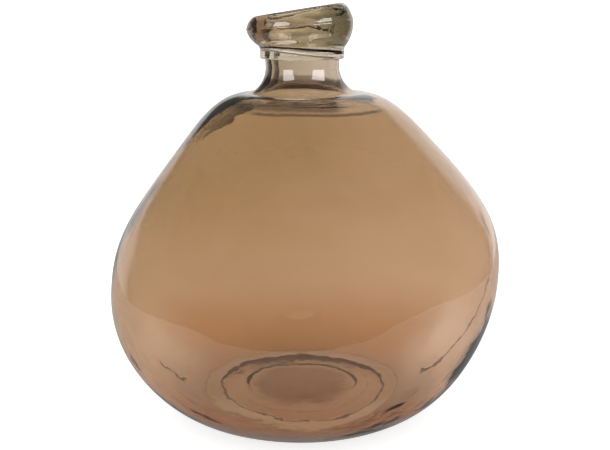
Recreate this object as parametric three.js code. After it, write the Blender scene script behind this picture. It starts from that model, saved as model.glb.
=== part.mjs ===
// Free-blown amber glass vase: a round bubble on a punted foot, drawn in to a narrow neck,
// with a heavy lip of glass wound round the end of the neck and left leaning.
// Millimetres, +Z up. The foot stands on z = 0 and the vase is centred on the Z axis.
// Every surface is a stack of rings. A ring may slope along X and may sit off the axis,
// which is how hot glass ends up: no two sides of this vase are quite alike.
import * as THREE from "three";

// Foot and punt
const footRadius = 88;
const footRingWidth = 16;
const puntHeight = 3;
const puntEdgeRise = 1.2;
const pontilRadius = 46;
const pontilDepth = 0.8;

// Bubble: the belly is its widest level, the shoulder is the level where it starts to close.
// The ease is how far along a bend the handles of its curve reach.
const bellyRadius = 162.3;
const bellyHeight = 106.7;
const heelRun = 27;
const heelRise = 59.2;
const bellyHold = 47.6;
const shoulderRadius = 93.4;
const bellyToShoulder = 130.3;
const shoulderSteepness = 1.16;
const shoulderReach = 56;
const shoulderToCrown = 28.2;
const shoulderRound = 23.9;
const crownRound = 6.9;
const bendEase = 0.5;

// Neck: a short tube that flares into the crown of the bubble, cut off on a slant
const neckRadius = 30.3;
const flareReach = 16.7;
const flareRise = 20.6;
const neckLength = 11.6;
const seatSlope = -0.14;

// Thickness of the glass
const floorWall = 8;
const kickUp = 2.5;
const sideWall = 6.2;
const neckWall = 6.6;
const wallDrift = 1.5;

// Lip: a collar round the outside of the neck, then a fat rim whose mouth leans up to +X
const collarWall = 3.8;
const collarTopAboveSeat = 4.1;
const skirtLap = 0.6;
const lipHeight = 30;
const lipBulge = 8.9;
const lipWidestShare = 0.62;
const rimTopShare = 0.25;
const lipBoreRadius = 31.3;
const boreLand = 1.5;
const funnelRise = 10;
const mouthRound = 12.2;
const mouthEdgeRound = 2.7;
const mouthSlope = 0.156;
const lipShift = -3.3;
const seatClearance = 0.3;

// The vase leans about: sideways places of its axis at the heel, the chest and the neck,
// and the slope of the belly's rings, which droop to one side
const heelOffset = -4;
const chestOffset = 2.6;
const neckOffset = -2.8;
const heelLevelShare = 0.43;
const chestLevelShare = 0.6;
const bellyDroop = 0.026;

// Fineness of the mesh
const segments = 60;
const heelSteps = 12;
const sideSteps = 10;
const shoulderSteps = 6;
const flareSteps = 5;
const floorSteps = 4;
const rimSteps = 4;

// Heights and radii worked out from the sizes above
const puntRadius = footRadius - footRingWidth;
const shoulderHeight = bellyHeight + bellyToShoulder;
const crownHeight = shoulderHeight + shoulderToCrown;
const crownRadius = neckRadius + flareReach;
const neckFoot = crownHeight + flareRise;
const seatHeight = neckFoot + neckLength;
const neckBoreRadius = neckRadius - neckWall;
const seatDrop = Math.abs(seatSlope) * neckRadius;
const collarInnerRadius = neckRadius + seatClearance;
const collarRadius = collarInnerRadius + collarWall;
const skirtBottom = seatHeight - seatDrop - skirtLap;
const collarTop = seatHeight + collarTopAboveSeat;
const lipRadius = collarRadius + lipBulge;
const mouthHeight = collarTop + lipHeight;
const lipWidestHeight = collarTop + lipHeight * lipWidestShare;
const rimTopRadius = lipBoreRadius + (lipRadius - lipBoreRadius) * rimTopShare;
const liftedSeat = seatHeight + seatClearance;
const heelLevel = bellyHeight * heelLevelShare;
const chestLevel = bellyHeight + bellyToShoulder * chestLevelShare;

const amberGlass = { color: 0xb08a67, roughness: 0.06, metalness: 0, transparent: true, opacity: 0.6 };
const clearerGlass = { color: 0x937d5b, roughness: 0.08, metalness: 0, transparent: true, opacity: 0.6 };

function ring(radius, height, slope = 0, shift = 0) {
  return { radius, height, slope, shift };
}

// Sideways place of the vase's axis at a height, eased from the heel to the chest and on to the neck.
function axisOffset(height) {
  const upToChest = THREE.MathUtils.smoothstep(height, heelLevel, chestLevel);
  const upToNeck = THREE.MathUtils.smoothstep(height, chestLevel, seatHeight);
  return heelOffset + (chestOffset - heelOffset) * upToChest + (neckOffset - chestOffset) * upToNeck;
}

// How far a height is through the bubble, as half a wave: none at the foot and the neck, most between them.
function midBubble(height) {
  return Math.sin((Math.PI * THREE.MathUtils.clamp(height, 0, neckFoot)) / neckFoot);
}

// A ring of the bubble, drooping to -X, most at half height.
function bubbleRing(radius, height, shift = 0) {
  return ring(radius, height, bellyDroop * midBubble(height), shift);
}

// Turns a stack of rings into one skin: a lathe form whose rings are then sloped and shifted.
function revolve(rings) {
  const profile = rings.map((each) => new THREE.Vector2(each.radius, each.height));
  const geometry = new THREE.LatheGeometry(profile, segments);
  geometry.rotateX(Math.PI / 2);
  const position = geometry.attributes.position;
  for (let i = 0; i < position.count; i++) {
    const { slope, shift } = rings[i % rings.length];
    const x = position.getX(i);
    const height = position.getZ(i) + slope * x;
    position.setXYZ(i, x + shift + axisOffset(height), position.getY(i), height);
  }
  geometry.computeVertexNormals();
  return geometry;
}

// Outline of the outside from the foot's edge to the top of the flare, as four curves that meet smoothly.
function outerCurves() {
  const wall = new THREE.Path();
  wall.moveTo(footRadius, 0);
  wall.bezierCurveTo(footRadius + heelRun, 0, bellyRadius, bellyHeight - heelRise, bellyRadius, bellyHeight);
  wall.bezierCurveTo(
    bellyRadius,
    bellyHeight + bellyHold,
    shoulderRadius + shoulderReach,
    shoulderHeight - shoulderReach * shoulderSteepness,
    shoulderRadius,
    shoulderHeight,
  );
  wall.bezierCurveTo(
    shoulderRadius - shoulderRound,
    shoulderHeight + shoulderRound * shoulderSteepness,
    crownRadius + crownRound,
    crownHeight,
    crownRadius,
    crownHeight,
  );
  wall.bezierCurveTo(
    crownRadius - flareReach * bendEase,
    crownHeight,
    neckRadius,
    crownHeight + flareRise * bendEase,
    neckRadius,
    neckFoot,
  );
  return wall.curves;
}

// Thickness of the glass behind a point of the outside: most at the foot, least up the side.
function wallAt(height) {
  const upTheSide = THREE.MathUtils.smoothstep(height, 0, bellyHeight);
  const upTheNeck = THREE.MathUtils.smoothstep(height, shoulderHeight, neckFoot);
  const side = THREE.MathUtils.lerp(floorWall, sideWall, upTheSide);
  return THREE.MathUtils.lerp(side, neckWall, upTheNeck);
}

// A ring of the inner skin, which sits a little to +X of the outer one, so that one side is thicker.
function innerRing(radius, height) {
  return bubbleRing(radius, height, wallDrift * midBubble(height));
}

// Samples the outside and steps back through the glass along the normal for the inside.
function wallRings() {
  const outer = [];
  const inner = [];
  const steps = [heelSteps, sideSteps, shoulderSteps, flareSteps];
  outerCurves().forEach((curve, index) => {
    const first = index === 0 ? 0 : 1;
    for (let i = first; i <= steps[index]; i++) {
      const point = curve.getPoint(i / steps[index]);
      const tangent = curve.getTangent(i / steps[index]);
      const thickness = wallAt(point.y);
      const inside = point.clone().add(new THREE.Vector2(-tangent.y, tangent.x).multiplyScalar(thickness));
      outer.push(bubbleRing(point.x, point.y));
      inner.push(innerRing(inside.x, inside.y));
    }
  });
  return { outer, inner };
}

// Underside from the middle out: the recess of the ground-off pontil, and the punt, which ends in a crease
// at the foot ring.
function undersideRings() {
  const rings = [
    ring(0, puntHeight + pontilDepth),
    ring(pontilRadius - pontilDepth, puntHeight + pontilDepth),
    ring(pontilRadius, puntHeight),
  ];
  const dome = new THREE.QuadraticBezierCurve(
    new THREE.Vector2(pontilRadius, puntHeight),
    new THREE.Vector2(puntRadius - puntEdgeRise, puntEdgeRise),
    new THREE.Vector2(puntRadius, 0),
  );
  for (const point of dome.getPoints(floorSteps).slice(1)) {
    rings.push(ring(point.x, point.y));
  }
  return rings;
}

// Inside of the floor from the edge to the middle, kicked up over the punt.
function floorRings() {
  const rings = [];
  for (let i = 1; i <= floorSteps; i++) {
    const share = i / floorSteps;
    const rise = kickUp * THREE.MathUtils.smoothstep(share, 0, 1);
    rings.push(innerRing(footRadius * (1 - share), floorWall + rise));
  }
  return rings;
}

function blownBody() {
  const { outer, inner } = wallRings();
  const neckEnd = [ring(neckRadius, seatHeight, seatSlope), ring(neckBoreRadius, seatHeight, seatSlope)];
  return revolve([...undersideRings(), ...outer, ...neckEnd, ...inner.reverse(), ...floorRings()]);
}

// The lip leans more the higher it goes, and its fat rim sits a little off the neck.
function lipRing(radius, height) {
  const share = THREE.MathUtils.clamp((height - collarTop) / lipHeight, 0, 1);
  return ring(radius, height, mouthSlope * share, lipShift * share);
}

function appliedLip() {
  const outside = new THREE.Path();
  outside.moveTo(collarRadius, collarTop);
  outside.bezierCurveTo(
    collarRadius + lipBulge * bendEase,
    collarTop + lipBulge * bendEase,
    lipRadius,
    lipWidestHeight - lipBulge,
    lipRadius,
    lipWidestHeight,
  );
  outside.bezierCurveTo(
    lipRadius,
    mouthHeight - mouthRound,
    lipRadius - mouthEdgeRound,
    mouthHeight,
    rimTopRadius,
    mouthHeight,
  );
  outside.bezierCurveTo(
    lipBoreRadius,
    mouthHeight,
    lipBoreRadius,
    mouthHeight - mouthRound * bendEase,
    lipBoreRadius,
    mouthHeight - mouthRound,
  );
  const rim = outside.getPoints(rimSteps).map((point) => lipRing(point.x, point.y));
  const landTop = liftedSeat + boreLand;
  const funnelTop = seatHeight + funnelRise;
  const funnel = new THREE.CubicBezierCurve(
    new THREE.Vector2(lipBoreRadius, funnelTop),
    new THREE.Vector2(lipBoreRadius, funnelTop - funnelRise * bendEase),
    new THREE.Vector2(neckBoreRadius, landTop + boreLand),
    new THREE.Vector2(neckBoreRadius, landTop),
  );
  const bore = funnel.getPoints(rimSteps).map((point) => {
    const share = (funnelTop - point.y) / (funnelTop - landTop);
    const { slope } = lipRing(point.x, point.y);
    return ring(point.x, point.y, slope + (seatSlope - slope) * share, lipShift * (1 - share));
  });
  return revolve([
    ring(collarInnerRadius, liftedSeat, seatSlope),
    ring(collarInnerRadius, skirtBottom),
    ring(collarRadius, skirtBottom),
    ...rim,
    ...bore,
    ring(neckBoreRadius, liftedSeat, seatSlope),
    ring(collarInnerRadius, liftedSeat, seatSlope),
  ]);
}

function glassMesh(name, geometry, look) {
  const mesh = new THREE.Mesh(geometry, new THREE.MeshStandardMaterial(look));
  mesh.name = name;
  return mesh;
}

const vase = new THREE.Group();
vase.add(glassMesh("blown_body", blownBody(), amberGlass));
vase.add(glassMesh("applied_lip", appliedLip(), clearerGlass));

// The leaning leaves the bubble off centre, so the whole vase moves back over the origin.
const extent = new THREE.Box3().setFromObject(vase);
vase.position.x = -(extent.min.x + extent.max.x) / 2;

export default vase;
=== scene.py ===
import math

import bpy
import numpy as np
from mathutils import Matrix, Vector, noise


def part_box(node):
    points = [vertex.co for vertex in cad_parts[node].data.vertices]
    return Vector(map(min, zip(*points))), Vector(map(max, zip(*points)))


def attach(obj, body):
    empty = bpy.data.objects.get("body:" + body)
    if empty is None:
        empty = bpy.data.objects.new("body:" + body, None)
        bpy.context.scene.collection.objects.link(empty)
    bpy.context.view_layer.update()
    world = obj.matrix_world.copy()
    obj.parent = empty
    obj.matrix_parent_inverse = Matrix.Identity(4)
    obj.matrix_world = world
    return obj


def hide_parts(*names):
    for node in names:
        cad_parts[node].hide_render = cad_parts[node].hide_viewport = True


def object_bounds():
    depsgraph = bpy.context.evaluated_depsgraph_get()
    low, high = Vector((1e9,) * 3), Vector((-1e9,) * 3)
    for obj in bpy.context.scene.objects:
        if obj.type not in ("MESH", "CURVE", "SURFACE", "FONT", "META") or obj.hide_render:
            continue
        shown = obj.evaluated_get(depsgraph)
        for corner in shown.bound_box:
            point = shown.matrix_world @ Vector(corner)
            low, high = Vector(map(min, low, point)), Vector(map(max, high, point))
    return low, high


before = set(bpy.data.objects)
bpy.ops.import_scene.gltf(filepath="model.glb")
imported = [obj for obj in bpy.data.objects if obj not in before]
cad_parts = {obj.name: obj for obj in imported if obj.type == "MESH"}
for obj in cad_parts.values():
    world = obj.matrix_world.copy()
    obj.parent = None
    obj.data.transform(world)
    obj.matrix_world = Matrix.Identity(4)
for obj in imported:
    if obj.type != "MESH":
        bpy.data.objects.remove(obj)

cad_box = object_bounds()

# Foot and punt
foot_radius = 0.088
foot_ring_width = 0.016
punt_height = 0.003
punt_edge_rise = 0.0012
pontil_radius = 0.046
pontil_depth = 0.0008

# Bubble
belly_radius = 0.1623
belly_height = 0.1067
heel_run = 0.027
heel_rise = 0.0592
belly_hold = 0.0476
shoulder_radius = 0.0934
belly_to_shoulder = 0.1303
shoulder_steepness = 1.16
shoulder_reach = 0.056
shoulder_to_crown = 0.0282
shoulder_round = 0.0239
crown_round = 0.0069
bend_ease = 0.5

# Neck
neck_radius = 0.0303
flare_reach = 0.0167
flare_rise = 0.0206
neck_length = 0.0116
seat_slope = -0.14

# Thickness of the glass
floor_wall = 0.008
kick_up = 0.0025
side_wall = 0.0062
neck_wall = 0.0066
wall_drift = 0.0015

# Lip
collar_wall = 0.0038
collar_top_above_seat = 0.0041
skirt_lap = 0.0006
lip_height = 0.03
lip_bulge = 0.0089
lip_widest_share = 0.62
rim_top_share = 0.25
lip_bore_radius = 0.0313
bore_land = 0.0015
funnel_rise = 0.010
mouth_round = 0.0122
mouth_edge_round = 0.0027
mouth_slope = 0.156
lip_shift = -0.0033
seat_clearance = 0.0003

# Leaning
heel_offset = -0.004
chest_offset = 0.0026
neck_offset = -0.0028
heel_level_share = 0.43
chest_level_share = 0.6
belly_droop = 0.026

# Worked out from the sizes above
punt_radius = foot_radius - foot_ring_width
shoulder_height = belly_height + belly_to_shoulder
crown_height = shoulder_height + shoulder_to_crown
crown_radius = neck_radius + flare_reach
neck_foot = crown_height + flare_rise
seat_height = neck_foot + neck_length
neck_bore_radius = neck_radius - neck_wall
seat_drop = abs(seat_slope) * neck_radius
collar_inner_radius = neck_radius + seat_clearance
collar_radius = collar_inner_radius + collar_wall
skirt_bottom = seat_height - seat_drop - skirt_lap
collar_top = seat_height + collar_top_above_seat
lip_radius = collar_radius + lip_bulge
mouth_height = collar_top + lip_height
lip_widest_height = collar_top + lip_height * lip_widest_share
rim_top_radius = lip_bore_radius + (lip_radius - lip_bore_radius) * rim_top_share
lifted_seat = seat_height + seat_clearance
heel_level = belly_height * heel_level_share
chest_level = belly_height + belly_to_shoulder * chest_level_share

# Fineness of the glass: rounded edges, narrow hems that keep an edge crisp, points round the vase, and steps
# along each stretch of the outline
edge_round = 0.0012
hem = 0.0008
body_segments = 256
lip_segments = 240
corner_steps = 3
dome_steps = 18
foot_steps = 5
heel_steps = 66
side_steps = 30
shoulder_steps = 20
flare_steps = 20
neck_steps = 6
bore_steps = 5
floor_steps = 25
rim_steps = 18
throat_steps = 7
funnel_steps = 16

# Ripples of the body: width of the waves, and how far each moves a wall. The underside stays still, and so
# does what lies under the lip.
long_wave = 0.06
mid_wave = 0.02
heel_wave = 0.008
outer_long_ripple = 0.00025
outer_mid_ripple = 0.00008
inner_long_ripple = 0.0008
inner_mid_ripple = 0.00015
inner_heel_ripple = 0.0001
heel_ripple_levels = (0.09, 0.03)
still_levels = (skirt_bottom - 0.006, skirt_bottom - 0.002)

# The foot wavers as it cools, more towards its edge. Past edge_start of its radius, the share edge_hold is
# held back.
edge_wave = 0.016
edge_waver = 0.0016
edge_start = 0.99
edge_hold = 0.6

# The finer lip is kept this far under the top of the solid's box
top_margin = 0.00001

# Looks of the glass. A tint is the light that two crossings of a coat let through, as red, green and blue.
skin_tints = ((0.95, 0.975, 0.965), (0.985, 0.99, 0.985))
seam_tints = ((0.93, 0.95, 0.93), (1, 1, 1))
amber_thick = (0.25, 0.145, 0.063)
amber_thin = (0.42, 0.25, 0.15)
heel_middle = (0.29, 0.105, 0.034)
heel_left = (0.44, 0.25, 0.15)
heel_right = (0.60, 0.39, 0.28)
# Painted shade: grey of the band above the foot, the shadowed table that the glass mirrors
shadow_band_tint = (0.17, 0.15, 0.14)
neck_left = (0.27, 0.2, 0.13)
neck_right = (0.38, 0.30, 0.23)
# Painted shade: dark of the bands on the front of the shoulder
shoulder_shade_tint = (0.05, 0.03, 0.018)
foot_tint = (0.28, 0.15, 0.085)
front_foot_tint = (0.56, 0.45, 0.33)
punt_tint = (0.33, 0.15, 0.075)
# Painted shade: dark middle of the underside, over the pontil recess
recess_shade_tint = (0.10, 0.023, 0.009)
# Painted shade: dark of the creases of the foot and of the line up the heel
crease_shade_tint = (0.02, 0.01, 0.01)
lip_brown = (0.13, 0.068, 0.036)
lip_olive = (0.08, 0.062, 0.029)
lip_pale = (0.33, 0.25, 0.145)
collar_tint = (0.42, 0.35, 0.27)

# How glass bends light, in the fused seam too, and the share of light from which a face mirrors all of it
glass_ior = 1.5
seam_ior = 1.0
total_mirror = 0.999

# Surface of each glass: waves per metre, how deep they look, and the most haze
skin_finish = (28.0, 0.0003, 0.01)
amber_finish = (22.0, 0.0004, 0.012)
foot_finish = (60.0, 0.0004, 0.05)
lip_finish = (70.0, 0.0003, 0.01)
wave_detail = 3.0
wave_twist = 0.4
haze_limits = (0.45, 0.8)

# Unevenness: clouds per metre, detail, swing to each side, and twist where there is any
amber_uneven = (9.0, 3.0, 0.25, 0.6)
# Ragged edge of the painted shade band above the foot
shadow_band_ragged = (50.0, 4.0, 0.006)
# Wander of the painted shade bands on the shoulder
shade_band_wander = (45.0, 3.0, 0.0025)
line_wobble = (150.0, 5.0, 0.006)
# Ragged edge of the painted shade in the middle of the underside
recess_shade_ragged = (45.0, 4.0, 0.008)
ring_wobble = (70.0, 3.0, 0.003)
skin_clouds = 12.0
seam_clouds = 80.0

# How thin the amber is, from 0 to 1: in the middle, more per metre to the right, and more with the square of
# the distance to either side. On the chest some is taken off again, and more of it on the left.
thin_in_middle = 0.5
thinner_rightward = 1.6
thinner_at_edges = 10.0
chest_thicker = -0.38
chest_thicker_left = -0.18

# The top of the heel's redder coat climbs with the square of the distance to either side
heel_bow = -0.9
# Depth of the painted shade band above the foot
shadow_band_depth = 0.8

# Where a look changes, in metres: each pair is where it begins and where it is full
chest_levels = (0.13, 0.21)
chest_leftward = (0.06, -0.04)
heel_levels = (0.068, 0.018)
heel_left_to_right = (-0.1, 0.1)
flank_reach = (0.07, 0.14)
flank_forward = (0.09, 0.03)
# The painted shade band above the foot: its levels, and how far forward it reaches
shadow_band_levels = (0.022, 0.012)
shadow_band_forward = (0.03, -0.05)
neck_levels = (0.245, 0.283)
neck_left_to_right = (-0.03, 0.03)
front_foot_forward = (-0.02, -0.07)
punt_limits = (punt_radius + 0.002, punt_radius - 0.004)
# Where the painted shade in the middle of the underside lies
recess_shade_limits = (pontil_radius + 0.006, pontil_radius - 0.012)
collar_limits = (collar_top + 0.003, collar_top - 0.001)
rim_top_limits = (mouth_height - 0.004, mouth_height - 0.0005)

# Pale smears of the lip, drawn out along the winding
smear_scale = (18, 18, 90)
smear_detail = 3.0
smear_twist = 1.2
smear_limits = (0.3, 0.7)
smear_right_end = (0.034, 0.016)
smear_left_end = (-0.044, -0.026)

# Painted shade: dark bands on the front of the shoulder, where the glass shows the dark room. Height, half
# width, left end, right end, back end and depth. The bands and the painted crease shades are dark in the
# middle and gone at their half width.
shoulder_shade_bands = [
    (0.2735, 0.0055, -0.05, 0.05, 0.1, 0.95),
    (0.2595, 0.0045, -0.07, 0.028, -0.02, 0.95),
    (0.2545, 0.0016, -0.04, 0.06, -0.03, 0.95),
]
# Ease at the ends of the painted shade bands on the shoulder
shade_band_ease = 0.006
full_share = 1 / 3

# Painted shade along creases of the foot, the dark lines that bent light shows there: radius, half width and
# depth
crease_shade_lines = [(punt_radius, 0.0013, 1.0), (foot_radius - 0.001, 0.0009, 0.7), (0.058, 0.0007, 0.6)]

# A painted dark line, shade of a refraction edge in the glass, climbs each side of the heel: how far in front
# of the side it starts, how far round each branch goes from there, and how high it is
line_start = math.radians(57)
line_right_reach = math.radians(37)
line_left_reach = math.radians(12)
line_height = 0.073
line_left_lower = -0.005
line_climb = 0.174
line_power = 1.57
line_half_width = (0.0016, 0.0007)
line_breaks = 60.0
line_break_limits = (0.34, 0.46)
line_depth = 0.95

# Studio. The vase stands on a white sweep whose front edge is close, so the front of the glass mirrors it as
# a bright zone below a dark one. What the outside of the glass mirrors is dimmer than what shows through it:
# the sweep darkens towards the foot, except in front, and the white behind it is a backdrop of limited width
# that reaches higher on the right than on the left.
paper_light = 1.5
paper_glow = 0.5
paper_roughness = 0.9
mirror_light = 0.66
mirror_right_extra = 0.12
room_light = 0.1
table_mirror = 0.52
table_shade = 0.31
table_bright = 1.0
shade_reach = (0.13, 0.34)
table_reach = (0.5, 1.2)
bright_forward = (0.04, -0.12)
bright_reach = (0.16, 0.30)
table_front = -0.36
table_left = -0.62
table_right = 0.60
table_back = 1.6
table_corner = 0.24
table_corner_steps = 24
table_drop = -0.0005

# Edges of the mirrored backdrop: angle, and how far the light eases to each side, negative where it ends
backdrop_left = (-56, 6)
backdrop_right = (44, -7)
backdrop_top_left = (17, -4)
backdrop_top_right = (30, -6)
backdrop_step = (3, 2)
backdrop_top_slope = 0.2

# A dark card behind the left shoulder, seen through the glass, makes the shoulder's dark streak. Its corners
# are X and Z.
card_depth = 0.13
card_outline = [
    (-0.17, 0.235),
    (-0.085, 0.235),
    (-0.056, 0.262),
    (-0.06, 0.29),
    (-0.10, 0.325),
    (-0.17, 0.325),
]
card_light = 0.06

# Two soft boxes in front make the bright windows on the neck: bearing, rise, half width and half height.
# A black shelf round the front, as high as the crown, keeps them out of what the bubble mirrors.
soft_boxes = [(-44, 19, 0.17, 0.20), (51, 20, 0.21, 0.19)]
soft_box_away = 0.6
soft_box_light = 9.0
shelf_height = 0.262
shelf_inner = 0.15
shelf_outer = 0.62
shelf_arc = (190, 350)
shelf_points = 25

# Camera
sensor_width = 36
lens_length = 55.475
camera_place = (0.00065, -0.7751, 0.3311)
camera_tilt = math.radians(77.1)
glass_bounces = 128

black = (0, 0, 0, 1)
white = (1, 1, 1, 1)


def smoothstep(value, low, high):
    """0 at low and 1 at high, eased between them. The limits can be the other way round."""
    share = np.clip((value - low) / (high - low), 0, 1)
    return share * share * (3 - 2 * share)


def axis_offset(height):
    """Sideways place of the vase's axis at a height."""
    to_chest = smoothstep(height, heel_level, chest_level)
    to_neck = smoothstep(height, chest_level, seat_height)
    return heel_offset + (chest_offset - heel_offset) * to_chest + (neck_offset - chest_offset) * to_neck


def mid_bubble(height):
    """0 at the floor and at the neck's foot, and 1 half-way up."""
    return np.sin(math.pi * np.clip(height, 0, neck_foot) / neck_foot)


def bezier(points, count):
    """Points and tangents at count even steps after the first, along one cubic or quadratic curve."""
    points = [np.array(p, float) for p in points]
    if len(points) == 3:
        start, pull, end = points
        points = [start, (start + 2 * pull) / 3, (end + 2 * pull) / 3, end]
    a, b, c, d = points
    t = (np.arange(1, count + 1) / count)[:, None]
    place = (1 - t) ** 3 * a + 3 * (1 - t) ** 2 * t * b + 3 * (1 - t) * t * t * c + t**3 * d
    slope = (1 - t) ** 2 * (b - a) + 2 * (1 - t) * t * (c - b) + t * t * (d - c)
    return place, slope / np.linalg.norm(slope, axis=1)[:, None]


def upright(radius, heights):
    """Points straight above each other at that radius."""
    return np.column_stack([np.full(len(heights), radius), heights])


def rings(points, slope=0.0, shift=0.0):
    """Rows of radius, height, slope and shift."""
    points = np.array(points, float).reshape(-1, 2)
    return np.column_stack([points, np.broadcast_to(slope, len(points)), np.broadcast_to(shift, len(points))])


def bubble_rings(points, shift_share=0.0):
    """Rings that droop most half-way up, where they can also be shifted."""
    points = np.array(points, float).reshape(-1, 2)
    level = mid_bubble(points[:, 1])
    return rings(points, belly_droop * level, shift_share * level)


def outer_curves():
    """Outline of the outside from the foot's edge to the top of the neck's flare: curves and their steps."""
    reach = shoulder_reach
    turn = shoulder_round
    heel = [
        (foot_radius, 0),
        (foot_radius + heel_run, 0),
        (belly_radius, belly_height - heel_rise),
        (belly_radius, belly_height),
    ]
    side = [
        (belly_radius, belly_height),
        (belly_radius, belly_height + belly_hold),
        (shoulder_radius + reach, shoulder_height - reach * shoulder_steepness),
        (shoulder_radius, shoulder_height),
    ]
    shoulder = [
        (shoulder_radius, shoulder_height),
        (shoulder_radius - turn, shoulder_height + turn * shoulder_steepness),
        (crown_radius + crown_round, crown_height),
        (crown_radius, crown_height),
    ]
    flare = [
        (crown_radius, crown_height),
        (crown_radius - flare_reach * bend_ease, crown_height),
        (neck_radius, crown_height + flare_rise * bend_ease),
        (neck_radius, neck_foot),
    ]
    return [(heel, heel_steps), (side, side_steps), (shoulder, shoulder_steps), (flare, flare_steps)]


def wall_at(height):
    """Thickness of the wall: it thins up the heel and changes again to the neck's."""
    side = floor_wall + (side_wall - floor_wall) * smoothstep(height, 0, belly_height)
    return side + (neck_wall - side) * smoothstep(height, shoulder_height, neck_foot)


def corner(centre, radius, start, turn, count=corner_steps):
    """A rounded corner: count + 1 points on an arc, angles in degrees."""
    angles = np.radians(start + turn * np.arange(count + 1) / count)
    return np.column_stack([centre[0] + radius * np.cos(angles), centre[1] + radius * np.sin(angles)])


def body_profile():
    """The body's rings from the middle of the underside round to that of the inner floor, and marked rows."""
    recess = punt_height + pontil_depth
    inner_edge = pontil_radius - pontil_depth
    underside = [(0, recess), (inner_edge / 2, recess), (inner_edge - hem, recess), (inner_edge, recess)]
    underside += [(pontil_radius, punt_height)]
    pull = (punt_radius - punt_edge_rise, punt_edge_rise)
    dome = bezier([(pontil_radius, punt_height), pull, (punt_radius, 0)], dome_steps)[0]
    foot = [(punt_radius + hem, 0)]
    foot += [(punt_radius + foot_ring_width * k / foot_steps, 0) for k in range(1, foot_steps)]
    outer = [np.array([(foot_radius, 0.0)])]
    inner = [np.array([(foot_radius, floor_wall)])]
    for points, count in outer_curves():
        place, along = bezier(points, count)
        normal = np.column_stack([-along[:, 1], along[:, 0]])
        outer.append(place)
        inner.append(place + normal * wall_at(place[:, 1])[:, None])
    outer = np.vstack(outer)
    inner = np.vstack(inner)
    tube_top = seat_height - edge_round
    bare = np.linspace(neck_foot, skirt_bottom, neck_steps + 1)[1:]
    lapped = np.linspace(skirt_bottom, tube_top, neck_steps + 1)[1:]
    lapped_share = (lapped - skirt_bottom) / (lapped[-1] - skirt_bottom)
    end_out = corner((neck_radius - edge_round, tube_top), edge_round, 0, 90)
    end_in = corner((neck_bore_radius + edge_round, tube_top), edge_round, 90, 90)
    bore = np.linspace(neck_foot, tube_top, bore_steps + 1)[-2:0:-1]
    bore_share = (bore - neck_foot) / (seat_height - neck_foot)
    share = np.linspace(0, 1, floor_steps + 1)[1:]
    floor = np.column_stack([foot_radius * (1 - share), floor_wall + kick_up * smoothstep(share, 0, 1)])
    parts = [
        rings(underside),
        rings(dome),
        rings(foot),
        bubble_rings(outer),
        rings(upright(neck_radius, bare)),
        rings(upright(neck_radius, lapped), seat_slope * lapped_share),
        rings(end_out[1:], seat_slope),
        rings(end_in, seat_slope),
        rings(upright(neck_bore_radius, bore), seat_slope * bore_share),
        bubble_rings(inner[::-1], wall_drift),
        bubble_rings(floor, wall_drift),
    ]
    # Rows from which the outside, the part that the lip laps, its rounded edge, the end and the inside start
    ends = np.cumsum([len(part) for part in parts])
    marks = dict(outside=ends[2], lapped=ends[4] - 1, edge=ends[5] - 1, end=ends[6] - 1, inside=ends[6])
    return np.vstack(parts), marks


def lip_profile():
    """The lip's rings as one closed loop, from its seat round the skirt, rim and bore, and marked rows."""
    curves = [
        [
            (collar_radius, collar_top),
            (collar_radius + lip_bulge * bend_ease, collar_top + lip_bulge * bend_ease),
            (lip_radius, lip_widest_height - lip_bulge),
            (lip_radius, lip_widest_height),
        ],
        [
            (lip_radius, lip_widest_height),
            (lip_radius, mouth_height - mouth_round),
            (lip_radius - mouth_edge_round, mouth_height),
            (rim_top_radius, mouth_height),
        ],
        [
            (rim_top_radius, mouth_height),
            (lip_bore_radius, mouth_height),
            (lip_bore_radius, mouth_height - mouth_round * bend_ease),
            (lip_bore_radius, mouth_height - mouth_round),
        ],
    ]
    rim = np.vstack([bezier(points, rim_steps)[0] for points in curves])
    land_top = lifted_seat + bore_land
    funnel_top = seat_height + funnel_rise
    down = np.linspace(mouth_height - mouth_round, funnel_top, throat_steps + 1)[1:-1]
    throat = upright(lip_bore_radius, down)
    funnel_curve = [
        (lip_bore_radius, funnel_top),
        (lip_bore_radius, funnel_top - funnel_rise * bend_ease),
        (neck_bore_radius, land_top + bore_land),
        (neck_bore_radius, land_top),
    ]
    funnel = np.vstack([funnel_curve[:1], bezier(funnel_curve, funnel_steps)[0]])

    def lean(points):
        """Slope and shift of each ring: both grow from the collar to the mouth."""
        share = np.clip((points[:, 1] - collar_top) / lip_height, 0, 1)
        return mouth_slope * share, lip_shift * share

    rim_slope, rim_shift = lean(rim)
    throat_slope, throat_shift = lean(throat)
    down_share = (funnel_top - funnel[:, 1]) / (funnel_top - land_top)
    funnel_slope = lean(funnel)[0]
    funnel_slope = funnel_slope + (seat_slope - funnel_slope) * down_share
    bead = edge_round
    skirt_edge = skirt_bottom + bead
    seat = [(neck_bore_radius + bead, lifted_seat), (collar_inner_radius - bead / 2, lifted_seat)]
    seat += [(collar_inner_radius, lifted_seat - bead / 2)]
    collar = [(collar_radius, skirt_edge + bead), (collar_radius, collar_top - bead)]
    parts = [
        rings(seat, seat_slope),
        rings([(collar_inner_radius, skirt_edge)]),
        rings(corner((collar_inner_radius + bead, skirt_edge), bead, 180, 90)[1:]),
        rings(corner((collar_radius - bead, skirt_edge), bead, 270, 90)),
        rings(collar),
        rings(rim, rim_slope, rim_shift),
        rings(throat, throat_slope, throat_shift),
        rings(funnel, funnel_slope, lip_shift * (1 - down_share)),
        rings([(neck_bore_radius, lifted_seat + bead)], seat_slope),
    ]
    # Rows from which the outside and, half-way over the rim, the inside start
    ends = np.cumsum([len(part) for part in parts])
    return np.vstack(parts), dict(outside=ends[1], inside=ends[4] + 2 * rim_steps)


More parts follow.
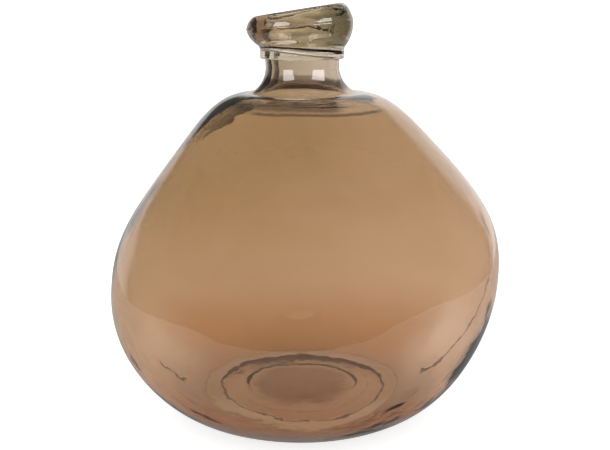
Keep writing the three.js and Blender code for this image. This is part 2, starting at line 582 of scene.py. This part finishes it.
def revolve(profile, segments):
    """Vertices of the stack of rings, each sloped along X and shifted, as an array of rings by segments."""
    angle = 2 * math.pi * np.arange(segments) / segments
    x = profile[:, :1] * np.cos(angle)
    y = profile[:, :1] * np.sin(angle)
    z = profile[:, 1:2] + profile[:, 2:3] * x
    return np.stack([x + profile[:, 3:4] + axis_offset(z), y, z], axis=2)


def grid_normals(grid):
    """Outward normals of a grid of rings by segments."""
    around = np.roll(grid, -1, axis=1) - np.roll(grid, 1, axis=1)
    normal = np.cross(around, np.gradient(grid, axis=0))
    return normal / np.maximum(np.linalg.norm(normal, axis=2, keepdims=True), 1e-12)


def ripple(points, size, drift=0.0):
    """Smooth noise from -1 to 1 at each point, with waves about that size. Each drift gives other waves."""
    away = Vector((drift, 2 * drift, 3 * drift))
    flat = points.reshape(-1, 3) / size
    return np.array([noise.noise(Vector(p) + away) for p in flat]).reshape(points.shape[:-1])


def blown(grid, profile, marks):
    """Ripples the body's walls and lets its foot waver. The first and last ring stay single points."""
    row = np.arange(len(profile))[:, None]
    is_inside = row >= marks["inside"]
    is_under = row < marks["outside"]
    level = grid[:, :, 2]
    long = ripple(grid, long_wave)
    mid = ripple(grid, mid_wave, drift=5.0)
    low = smoothstep(level, *heel_ripple_levels) * ripple(grid, heel_wave, drift=9.0)
    outer_move = -outer_long_ripple * (0.5 + 0.5 * long) - outer_mid_ripple * (0.5 + 0.5 * mid)
    inner_move = inner_long_ripple * long + inner_mid_ripple * mid + inner_heel_ripple * low
    move = np.where(is_inside, inner_move, np.where(is_under, 0, outer_move))
    move = move * (1 - smoothstep(level, *still_levels))
    grid = grid + grid_normals(grid) * move[:, :, None]
    spread = profile[:, :1] / foot_radius
    hold = spread**4 * (1 - edge_hold * (spread > edge_start))
    outward = edge_waver * ripple(grid * (1, 1, 0), edge_wave, drift=3.0) * np.where(is_under, hold, 0)
    around = 2 * math.pi * np.arange(body_segments) / body_segments
    grid[:, :, 0] += outward * np.cos(around)
    grid[:, :, 1] += outward * np.sin(around)
    grid[:, :, 2] = np.maximum(grid[:, :, 2], 0)
    grid[0] = grid[0].mean(axis=0)
    grid[-1] = grid[-1].mean(axis=0)
    return grid


def glass_object(name, grid, looks, glasses, is_loop):
    """One closed mesh from a grid of rings, with the look of the faces above each ring.

    The rings of a loop close on each other. Otherwise the first and the last are single points.
    """
    count, segments = grid.shape[:2]
    if is_loop:
        points = grid.reshape(-1, 3)
        rows = [list(range(r * segments, (r + 1) * segments)) for r in range(count)]
    else:
        points = [grid[0, 0]] + [p for row in grid[1:-1] for p in row] + [grid[-1, 0]]
        rows = [[0] * segments]
        rows += [list(range(1 + r * segments, 1 + (r + 1) * segments)) for r in range(count - 2)]
        rows += [[len(points) - 1] * segments]
    faces = []
    slots = []
    names = list(glasses)
    for r in range(count if is_loop else count - 1):
        slots += [names.index(looks[r])] * segments
        low = rows[r]
        high = rows[(r + 1) % count]
        for s in range(segments):
            t = (s + 1) % segments
            corners = [low[s], low[t], high[t], high[s]]
            if low[s] == low[t]:
                corners = [low[s], high[t], high[s]]
            elif high[s] == high[t]:
                corners = [low[s], low[t], high[t]]
            faces.append(corners)
    mesh = bpy.data.meshes.new(name)
    mesh.from_pydata([tuple(p) for p in points], [], faces)
    for material in glasses.values():
        mesh.materials.append(material)
    mesh.polygons.foreach_set("material_index", np.array(slots, dtype=np.int32))
    mesh.polygons.foreach_set("use_smooth", np.ones(len(slots), dtype=bool))
    mesh.update()
    thing = bpy.data.objects.new(name, mesh)
    bpy.context.scene.collection.objects.link(thing)
    return thing


def add(tree, kind, inputs=None, **settings):
    """Adds a shader node. An input takes a plain value or another node's output."""
    node = tree.nodes.new("ShaderNode" + kind)
    for name, value in settings.items():
        setattr(node, name, value)
    for key, value in (inputs or {}).items():
        if isinstance(value, bpy.types.NodeSocket):
            tree.links.new(value, node.inputs[key])
        else:
            node.inputs[key].default_value = value
    return node


def work_out(tree, operation, *values):
    """Result of one math node."""
    return add(tree, "Math", dict(enumerate(values)), operation=operation).outputs[0]


def plus(tree, one, other):
    return work_out(tree, "ADD", one, other)


def times(tree, first, *others):
    """Product of two or more values, from left to right."""
    for other in others:
        first = work_out(tree, "MULTIPLY", first, other)
    return first


def scaled(tree, value, factor, start):
    """The value times the factor, plus the start."""
    return work_out(tree, "MULTIPLY_ADD", value, factor, start)


def squared(tree, value):
    return work_out(tree, "POWER", value, 2.0)


def apart(tree, one, other):
    """How far two values are from each other."""
    return work_out(tree, "ABSOLUTE", work_out(tree, "SUBTRACT", one, other))


def fade(tree, value, low, high):
    """0 at low and 1 at high, eased between them."""
    limits = {"Value": value, "From Min": low, "From Max": high}
    return add(tree, "MapRange", limits, interpolation_type="SMOOTHSTEP").outputs["Result"]


def between(tree, share, one, other):
    """A plain value: one where the share is 0, and the other where it is 1."""
    return add(tree, "Mix", {0: share, 2: one, 3: other}, data_type="FLOAT").outputs[0]


def blend(tree, share, one, other):
    """A tint in the same way. Each is a node's output or three plain numbers."""
    one, other = [tint if isinstance(tint, bpy.types.NodeSocket) else (*tint, 1) for tint in (one, other)]
    return add(tree, "Mix", {0: share, 6: one, 7: other}, data_type="RGBA").outputs[2]


def cloud(tree, place, scale, detail=2.0, twist=0.0):
    """Noise from about 0 to 1 whose clouds are about 1 / scale metres wide."""
    inputs = {"Vector": place, "Scale": scale, "Detail": detail, "Distortion": twist}
    return add(tree, "TexNoise", inputs).outputs[0]


def waver(tree, place, scale, detail, swing, twist=0.0):
    """Noise from about -swing to swing."""
    return scaled(tree, cloud(tree, place, scale, detail, twist), 2 * swing, -swing)


def split(tree, vector):
    """The X, Y and Z of a vector."""
    return add(tree, "SeparateXYZ", {0: vector}).outputs


def new_glass(name, ior=glass_ior):
    """A clear glass material, its nodes, its shader, and the place on the object."""
    material = bpy.data.materials.new(name)
    material.use_nodes = True
    tree = material.node_tree
    shader = tree.nodes["Principled BSDF"]
    shader.inputs["IOR"].default_value = ior
    shader.inputs["Transmission Weight"].default_value = 1.0
    return material, tree, shader, add(tree, "TexCoord").outputs["Object"]


def surface_finish(tree, shader, place, wave_scale, wave_depth, haze):
    """Slow ripples of fire-polished glass, and a haze that comes and goes."""
    waves = cloud(tree, place, wave_scale, wave_detail, wave_twist)
    bump = add(tree, "Bump", {"Height": waves, "Strength": 1.0, "Distance": wave_depth})
    tree.links.new(bump.outputs[0], shader.inputs["Normal"])
    patches = fade(tree, cloud(tree, place, wave_scale / 2), *haze_limits)
    tree.links.new(times(tree, patches, haze), shader.inputs["Roughness"])


def tint_inner_mirror(tree, shader):
    """Light that a coated face throws back into the glass has crossed the coat twice, so it is tinted."""
    share = add(tree, "Fresnel", {"IOR": glass_ior}).outputs[0]
    is_total = work_out(tree, "GREATER_THAN", share, total_mirror)
    from_glass = add(tree, "NewGeometry").outputs["Backfacing"]
    tree.links.new(times(tree, is_total, from_glass), shader.inputs["Metallic"])


def clear_glass():
    """The bare inner skin of the bubble, the neck and the lip."""
    material, tree, shader, place = new_glass("clear_glass")
    surface_finish(tree, shader, place, *skin_finish)
    tint = blend(tree, cloud(tree, place, skin_clouds), *skin_tints)
    tree.links.new(tint, shader.inputs["Base Color"])
    return material


def amber_tint(tree, place, x, z):
    """The amber itself: thinner to the right and at both edges, thicker on the chest."""
    across = scaled(tree, x, thinner_rightward, thin_in_middle)
    edges = times(tree, squared(tree, x), thinner_at_edges)
    thicker = scaled(tree, fade(tree, x, *chest_leftward), chest_thicker_left, chest_thicker)
    chest = times(tree, fade(tree, z, *chest_levels), thicker)
    thin = plus(tree, plus(tree, across, edges), plus(tree, chest, waver(tree, place, *amber_uneven)))
    thin = add(tree, "Clamp", {0: thin}).outputs[0]
    return blend(tree, thin, amber_thick, amber_thin)


def heel_tint(tree, x, y, sideways):
    """Redder low down, and pale at the two sides."""
    flank = blend(tree, fade(tree, x, *heel_left_to_right), heel_left, heel_right)
    beside = times(tree, fade(tree, sideways, *flank_reach), fade(tree, y, *flank_forward))
    return blend(tree, beside, heel_middle, flank)


def shadow_band_share(tree, place, y, z):
    """Share of the painted grey band at the front, just above where the vase stands: painted shade, the
    shadowed table that the glass mirrors there.
    """
    level = plus(tree, z, waver(tree, place, *shadow_band_ragged))
    return times(tree, fade(tree, level, *shadow_band_levels), fade(tree, y, *shadow_band_forward), shadow_band_depth)


def painted_line_share(tree, place, x, y, z, sideways):
    """Share of a thin broken painted dark line, shade of a refraction edge in the glass, that climbs each
    side from the front of the heel.
    """
    turn = work_out(tree, "ARCTAN2", times(tree, y, -1.0), sideways)
    back = work_out(tree, "SUBTRACT", line_start, turn)
    on_left = work_out(tree, "LESS_THAN", x, 0.0)
    climb = work_out(tree, "POWER", work_out(tree, "MAXIMUM", back, 0.0), line_power)
    height = scaled(tree, on_left, line_left_lower, scaled(tree, climb, line_climb, line_height))
    wobble = waver(tree, place, *line_wobble)
    off = work_out(tree, "ABSOLUTE", plus(tree, work_out(tree, "SUBTRACT", z, height), wobble))
    reach = scaled(tree, on_left, line_left_reach - line_right_reach, line_right_reach)
    started = work_out(tree, "GREATER_THAN", back, 0.0)
    ends = times(tree, started, work_out(tree, "LESS_THAN", back, reach))
    unbroken = fade(tree, cloud(tree, place, line_breaks), *line_break_limits)
    return times(tree, fade(tree, off, *line_half_width), times(tree, ends, unbroken), line_depth)


def amber_coat():
    """The thin amber coat on the outside of the bubble and neck, with painted shade: a grey band above the
    foot, dark bands on the shoulder and a dark line up the heel.
    """
    material, tree, shader, place = new_glass("amber_coat")
    surface_finish(tree, shader, place, *amber_finish)
    x, y, z = split(tree, place)
    sideways = work_out(tree, "ABSOLUTE", x)
    amber = amber_tint(tree, place, x, z)
    bowed = scaled(tree, squared(tree, sideways), heel_bow, z)
    amber = blend(tree, fade(tree, bowed, *heel_levels), amber, heel_tint(tree, x, y, sideways))
    # Painted shade: a grey band at the front just above the foot, the shadowed table mirrored there
    amber = blend(tree, shadow_band_share(tree, place, y, z), amber, shadow_band_tint)
    neck = blend(tree, fade(tree, x, *neck_left_to_right), neck_left, neck_right)
    amber = blend(tree, fade(tree, z, *neck_levels), amber, neck)
    # Painted shade: dark bands on the front of the shoulder, where the glass shows the dark room
    level = plus(tree, z, waver(tree, place, *shade_band_wander))
    for height, half_width, left_end, right_end, back_end, depth in shoulder_shade_bands:
        shade_band = times(
            tree,
            fade(tree, apart(tree, level, height), half_width, half_width * full_share),
            fade(tree, x, left_end - shade_band_ease, left_end + shade_band_ease),
            fade(tree, x, right_end + shade_band_ease, right_end - shade_band_ease),
            fade(tree, y, back_end, back_end - 2 * shade_band_ease),
            depth,
        )
        amber = blend(tree, shade_band, amber, shoulder_shade_tint)
    # Painted shade: a thin dark line up each side of the heel, along a refraction edge
    amber = blend(tree, painted_line_share(tree, place, x, y, z, sideways), amber, crease_shade_tint)
    tree.links.new(amber, shader.inputs["Base Color"])
    tint_inner_mirror(tree, shader)
    return material


def foot_coat(foot_middle):
    """The underside: paler in front, with painted shade: dark lines along its creases and a dark middle over
    the pontil recess.
    """
    material, tree, shader, place = new_glass("foot_coat")
    surface_finish(tree, shader, place, *foot_finish)
    x, y, _ = split(tree, place)
    flat = add(tree, "CombineXYZ", {0: x, 1: y}).outputs[0]
    reach = add(tree, "VectorMath", {0: flat, 1: (foot_middle, 0, 0)}, operation="DISTANCE").outputs["Value"]
    tint = blend(tree, fade(tree, y, *front_foot_forward), foot_tint, front_foot_tint)
    tint = blend(tree, fade(tree, reach, *punt_limits), tint, punt_tint)
    # Painted shade: a dark, ragged middle over the pontil recess
    ragged = plus(tree, reach, waver(tree, place, *recess_shade_ragged))
    tint = blend(tree, fade(tree, ragged, *recess_shade_limits), tint, recess_shade_tint)
    wavering = plus(tree, reach, waver(tree, place, *ring_wobble))
    # Painted shade: dark lines along the creases of the foot
    for radius, half_width, depth in crease_shade_lines:
        crease_shade = fade(tree, apart(tree, wavering, radius), half_width, half_width * full_share)
        tint = blend(tree, times(tree, crease_shade, depth), tint, crease_shade_tint)
    tree.links.new(tint, shader.inputs["Base Color"])
    tint_inner_mirror(tree, shader)
    return material


def lip_coat():
    """The wound lip: brown on the left and olive on the right, smeared paler; its collar and top are pale."""
    material, tree, shader, place = new_glass("lip_coat")
    surface_finish(tree, shader, place, *lip_finish)
    x, _, z = split(tree, place)
    drawn_out = add(tree, "Mapping", {"Vector": place, "Scale": smear_scale}).outputs[0]
    smear = fade(tree, cloud(tree, drawn_out, 1.0, smear_detail, smear_twist), *smear_limits)
    smear = times(tree, smear, fade(tree, x, *smear_right_end), fade(tree, x, *smear_left_end))
    tint = blend(tree, fade(tree, x, *neck_left_to_right), lip_brown, lip_olive)
    tint = blend(tree, smear, tint, lip_pale)
    tint = blend(tree, fade(tree, z, *collar_limits), tint, collar_tint)
    mouth_level = scaled(tree, x, -mouth_slope, z)
    tint = blend(tree, fade(tree, mouth_level, *rim_top_limits), tint, collar_tint)
    tree.links.new(tint, shader.inputs["Base Color"])
    return material


def fused_seam():
    """Faces between lip and neck, where the two are one glass: light goes straight through."""
    material, tree, shader, place = new_glass("fused_seam", seam_ior)
    tint = blend(tree, cloud(tree, place, seam_clouds), *seam_tints)
    tree.links.new(tint, shader.inputs["Base Color"])
    shader.inputs["Roughness"].default_value = 0.0
    return material


def body_look(r, marks):
    """The look of the body's faces from ring r to the next."""
    if r < marks["outside"]:
        return "underside"
    if marks["lapped"] <= r < marks["edge"] or r == marks["end"]:
        return "seam"
    return "skin" if r > marks["end"] else "coat"


def lip_look(r, marks):
    """The look of the lip's faces from ring r to the next."""
    if r < marks["outside"]:
        return "seam"
    return "skin" if r >= marks["inside"] else "coat"


def vase():
    """The body and the lip, with the body's middle where the solid's is."""
    profile, marks = body_profile()
    grid = blown(revolve(profile, body_segments), profile, marks)
    low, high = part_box("blown_body")
    centre = (low.x + high.x) / 2 - (grid[:, :, 0].min() + grid[:, :, 0].max()) / 2
    grid[:, :, 0] += centre
    lip_rings, lip_marks = lip_profile()
    lip_grid = revolve(lip_rings, lip_segments)
    lip_grid[:, :, 0] += centre
    lip_grid[:, :, 2] = np.minimum(lip_grid[:, :, 2], cad_box[1][2] - top_margin)
    skin = clear_glass()
    seam = fused_seam()
    underside = foot_coat(centre + heel_offset)
    glasses = {"skin": skin, "coat": amber_coat(), "underside": underside, "seam": seam}
    looks = [body_look(r, marks) for r in range(len(profile))]
    body = glass_object("blown_body_glass", grid, looks, glasses, is_loop=False)
    glasses = {"skin": skin, "coat": lip_coat(), "seam": seam}
    looks = [lip_look(r, lip_marks) for r in range(len(lip_rings))]
    lip = glass_object("applied_lip_glass", lip_grid, looks, glasses, is_loop=True)
    return body, lip


def only_mirrored(tree):
    """1 for a ray that has bounced off the outside of the glass and never been in it, otherwise 0."""
    path = add(tree, "LightPath").outputs
    outside = work_out(tree, "LESS_THAN", path["Transmission Depth"], 0.5)
    return times(tree, outside, work_out(tree, "GREATER_THAN", path["Glossy Depth"], 0.5))


def plain_material(name):
    """A black material without gloss, its nodes and its shader."""
    material = bpy.data.materials.new(name)
    material.use_nodes = True
    shader = material.node_tree.nodes["Principled BSDF"]
    shader.inputs["Base Color"].default_value = black
    shader.inputs["Roughness"].default_value = paper_roughness
    shader.inputs["Specular IOR Level"].default_value = 0
    shader.inputs["Emission Color"].default_value = white
    return material, material.node_tree, shader


def flat_object(name, points):
    """One face through the points, without a material."""
    mesh = bpy.data.meshes.new(name)
    mesh.from_pydata(points, [], [tuple(range(len(points)))])
    thing = bpy.data.objects.new(name, mesh)
    bpy.context.scene.collection.objects.link(thing)
    return thing


def studio_card(name, points, light, seen_through):
    """A flat card that only the glass shows: through itself, or else mirrored on its outside."""
    card = flat_object(name, points)
    material, _, shader = plain_material(name)
    shader.inputs["Emission Strength"].default_value = light
    card.data.materials.append(material)
    card.visible_camera = False
    card.visible_diffuse = False
    card.visible_shadow = False
    card.visible_volume_scatter = False
    card.visible_transmission = seen_through
    card.visible_glossy = not seen_through


def soft_box_corners(bearing, rise, half_width, half_height):
    """A rectangle that faces the foot of the neck, from a bearing to the right of the front."""
    bearing = math.radians(bearing)
    rise = math.radians(rise)
    level = math.cos(rise)
    towards = Vector((math.sin(bearing) * level, -math.cos(bearing) * level, math.sin(rise)))
    across = Vector((math.cos(bearing), math.sin(bearing), 0)) * half_width
    upward = across.normalized().cross(towards) * half_height
    middle = Vector((neck_offset, 0, neck_foot)) + towards * soft_box_away
    low = middle - upward
    high = middle + upward
    return [low - across, low + across, high + across, high - across]


def studio_cards():
    """The card behind the shoulder, and the shelf and soft boxes in front."""
    studio_card("gap_card", [(x, card_depth, z) for x, z in card_outline], card_light, seen_through=True)
    turns = np.radians(np.linspace(*shelf_arc, shelf_points))
    shelf = [(shelf_outer * math.cos(t), shelf_outer * math.sin(t), shelf_height) for t in turns]
    shelf += [(shelf_inner * math.cos(t), shelf_inner * math.sin(t), shelf_height) for t in turns[::-1]]
    studio_card("shelf", shelf, 0.0, seen_through=False)
    for number, box in enumerate(soft_boxes):
        studio_card(f"soft_box_{number + 1}", soft_box_corners(*box), soft_box_light, seen_through=False)


def mirrored_table(tree):
    """How bright the outside of the glass mirrors the table, by the place on it: a painted shadow darkens it
    towards the foot, except in front.
    """
    place = add(tree, "NewGeometry").outputs["Position"]
    away = add(tree, "VectorMath", {0: place}, operation="LENGTH").outputs["Value"]
    dim = scaled(tree, fade(tree, away, *shade_reach), table_mirror - table_shade, table_shade)
    dim = scaled(tree, fade(tree, away, *table_reach), mirror_light - table_mirror, dim)
    ahead = fade(tree, split(tree, place)["Y"], *bright_forward)
    return between(tree, times(tree, ahead, fade(tree, away, *bright_reach)), dim, table_bright)


def plain_floor():
    """The white sweep, with two rounded corners in front. It is lit, and glows a little itself."""
    outline = [(table_right, table_back), (table_left, table_back)]
    for start, x in [(180, table_left + table_corner), (270, table_right - table_corner)]:
        outline += list(corner((x, table_front + table_corner), table_corner, start, 90, table_corner_steps))
    floor = flat_object("white_sweep", [(x, y, 0) for x, y in outline])
    floor.location.z = table_drop
    paper, tree, shader = plain_material("white_paper")
    dimmer = work_out(tree, "SUBTRACT", mirrored_table(tree), 1.0)
    share = scaled(tree, only_mirrored(tree), dimmer, 1.0)
    grey = times(tree, share, 1 - paper_glow)
    colour = add(tree, "CombineColor", {0: grey, 1: grey, 2: grey}).outputs[0]
    tree.links.new(colour, shader.inputs["Base Color"])
    tree.links.new(times(tree, share, paper_light * paper_glow), shader.inputs["Emission Strength"])
    floor.data.materials.append(paper)


def fade_angle(tree, value, middle, ease):
    """Eases from 0 to 1 within ease degrees each side of the middle; a negative ease falls instead."""
    return fade(tree, value, math.radians(middle - ease), math.radians(middle + ease))


def studio_world():
    """White all round. The outside of the glass mirrors only the backdrop, and a dark room beside it."""
    world = bpy.data.worlds.new("studio")
    bpy.context.scene.world = world
    world.use_nodes = True
    tree = world.node_tree
    tree.nodes.clear()
    x, y, z = split(tree, add(tree, "TexCoord").outputs["Generated"])
    # Angle from straight behind the vase, positive to the right, and angle above the horizon
    bearing = work_out(tree, "ARCTAN2", x, y)
    rise = work_out(tree, "ARCSINE", z)
    on_right = fade_angle(tree, bearing, *backdrop_step)
    sides = times(tree, fade_angle(tree, bearing, *backdrop_left), fade_angle(tree, bearing, *backdrop_right))
    top_left = fade_angle(tree, scaled(tree, bearing, -backdrop_top_slope, rise), *backdrop_top_left)
    top = between(tree, on_right, top_left, fade_angle(tree, rise, *backdrop_top_right))
    light = scaled(tree, on_right, mirror_right_extra, mirror_light - mirror_right_extra)
    wall = work_out(tree, "MAXIMUM", times(tree, sides, top, light), room_light)
    strength = times(tree, between(tree, only_mirrored(tree), 1.0, wall), paper_light)
    background = add(tree, "Background", {"Color": white, "Strength": strength})
    add(tree, "OutputWorld", {"Surface": background.outputs[0]})


def photo_camera():
    """The camera of the photograph's view."""
    lens = bpy.data.cameras.new("camera")
    lens.sensor_width = sensor_width
    lens.lens = lens_length
    camera = bpy.data.objects.new("camera", lens)
    camera.location = camera_place
    camera.rotation_euler = (camera_tilt, 0, 0)
    bpy.context.scene.collection.objects.link(camera)
    return camera


body, lip = vase()
for piece, node, slot in [(body, "blown_body", "amber_glass"), (lip, "applied_lip", "lip_glass")]:
    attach(piece, "root")
    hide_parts(node)

plain_floor()
studio_cards()
studio_world()

scene = bpy.context.scene
scene.camera = photo_camera()
scene.view_settings.view_transform = "Standard"
scene.cycles.max_bounces = glass_bounces
scene.cycles.transmission_bounces = glass_bounces
scene.cycles.glossy_bounces = glass_bounces
